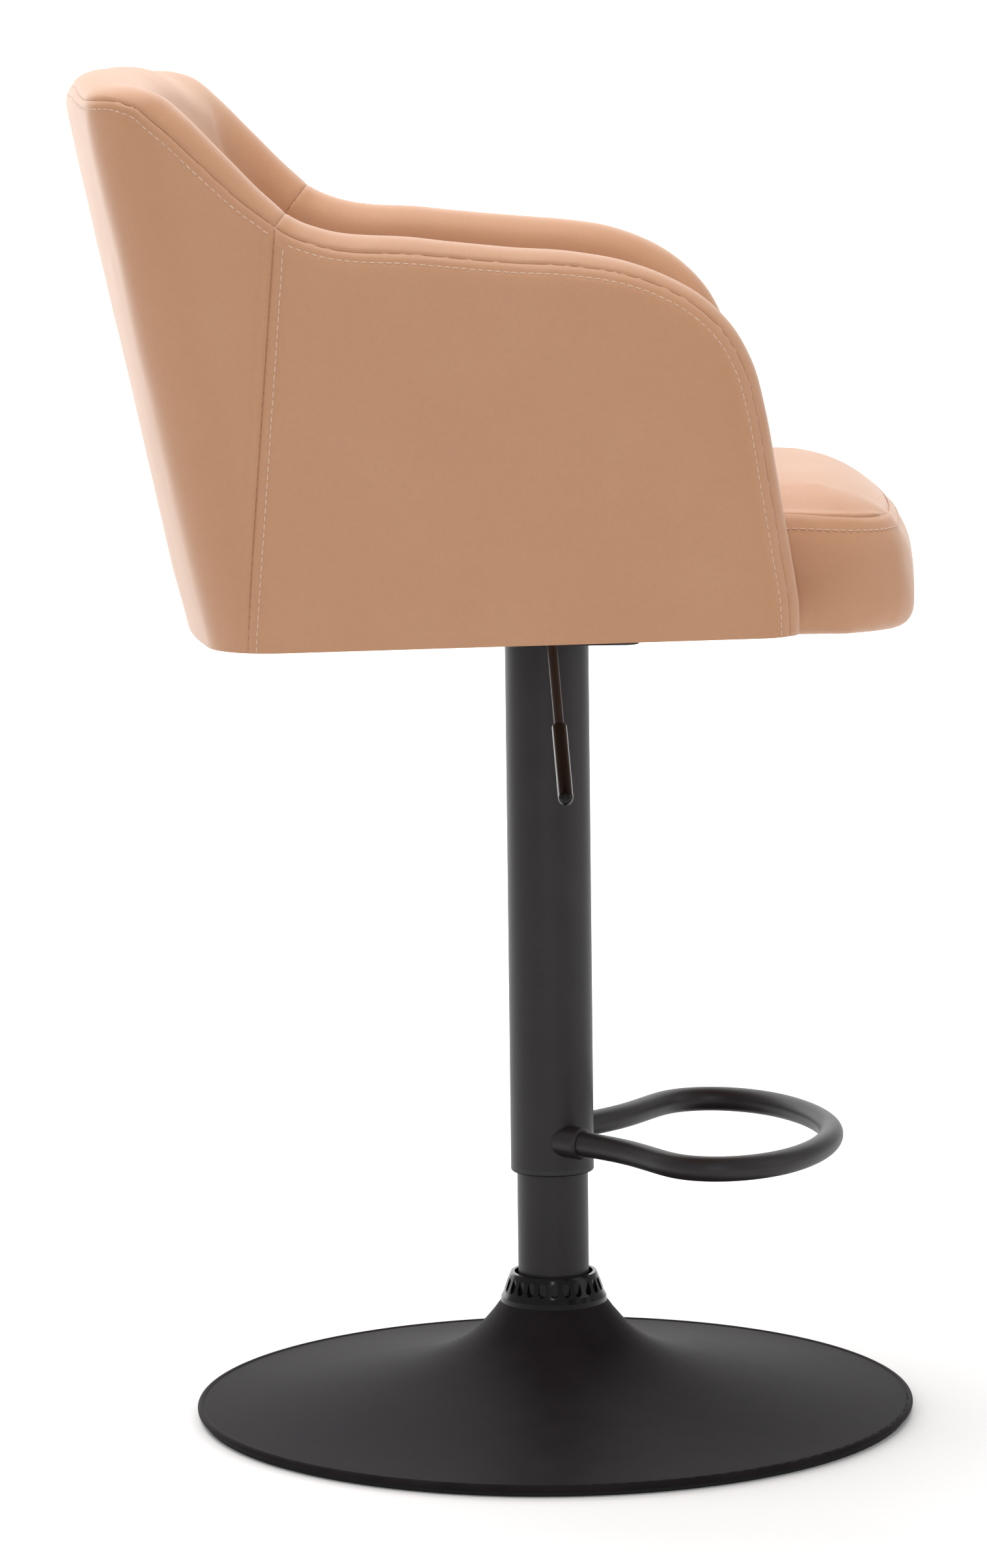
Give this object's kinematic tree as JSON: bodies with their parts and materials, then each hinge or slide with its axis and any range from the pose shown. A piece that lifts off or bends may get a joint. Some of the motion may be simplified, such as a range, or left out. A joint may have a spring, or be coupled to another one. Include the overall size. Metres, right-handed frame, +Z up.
{
  "type": "adjustable swivel stool",
  "caption": "Tub seat with low arms and a crowned cushion on a gas lift column, with a footrest loop and a round trumpet base.",
  "frame": {"origin": "on the floor, on the column's axis", "axes": "+Z up along the column, +X towards the front of the seat, +Y to the sitter's left"},
  "size_m": [0.5131, 0.48, 0.842],
  "materials": {
    "black_coat": "satin black powder coat",
    "rubber": "matt moulded rubber",
    "iron": "rough cast",
    "zinc_steel": "zinc plated",
    "plain_steel": "machined, lightly oiled",
    "bright_rod": "hard chrome, ground",
    "black_plastic": "moulded, fine texture",
    "gloss_plastic": "moulded, polished",
    "plywood": "unfinished plywood",
    "faux_leather": "smooth coated cloth with a fine grain",
    "dust_cloth": "thin non-woven cloth"
  },
  "bodies": {
    "base": {"base_shell": "black_coat", "floor_ring": "rubber", "base_weight": "iron", "base_washer": "zinc_steel", "base_bolt": "zinc_steel", "column_tube": "black_coat", "column_plug": "plain_steel", "bearing_floor": "plain_steel", "lower_race": "plain_steel", "bearing_balls": "plain_steel", "ball_cage": "black_plastic", "guide_bush": "black_plastic", "collar": "gloss_plastic"},
    "rod": {"piston_rod": "bright_rod", "retaining_clip": "plain_steel", "upper_race": "plain_steel", "lift_buffer": "rubber", "piston": "plain_steel", "piston_seal": "rubber"},
    "seat": {"gas_cylinder": "black_coat", "rod_guide": "plain_steel", "taper_socket": "plain_steel", "sleeve_tube": "black_coat", "sleeve_glide": "black_plastic", "footrest": "black_coat", "footrest_welds": "black_coat", "seat_plate": "black_coat", "lever_housing": "black_coat", "lever_bracket": "black_coat", "lever_pivot_pin": "zinc_steel", "plate_bolts": "zinc_steel", "tee_nuts": "zinc_steel", "frame_screws": "zinc_steel", "tub_frame": "plywood", "back_panel": "faux_leather", "side_panel_right": "faux_leather", "side_panel_left": "faux_leather", "back_pad": "faux_leather", "arm_pad_right": "faux_leather", "arm_pad_left": "faux_leather", "seat_board": "plywood", "seat_cushion": "faux_leather", "dust_cover": "dust_cloth"},
    "lever": {"lever_rod": "black_coat", "lever_grip": "gloss_plastic"},
    "valve": {"valve_pin": "plain_steel"}
  },
  "joints": [
    {"name": "swivel", "type": "hinge", "parent": "base", "child": "rod", "pos_m": [0, 0, 0.045], "axis": [0, 0, 1], "continuous": true},
    {"name": "height", "type": "slide", "parent": "rod", "child": "seat", "axis": [0, 0, 1], "range_m": [0, 0.215]},
    {"name": "lever_lift", "type": "hinge", "parent": "seat", "child": "lever", "pos_m": [0, -0.04, 0.505], "axis": [-1, 0, 0], "range_deg": [0, 4.3], "stiffness_Nm_per_rad": 4, "springref_deg": -2.86},
    {"name": "valve_press", "type": "slide", "parent": "seat", "child": "valve", "axis": [0, 0, -1], "range_m": [0, 0.0033]}
  ],
  "couplings": [
    {"joint": "valve_press", "follows": "lever_lift", "m_per_rad": 0.044}
  ]
}
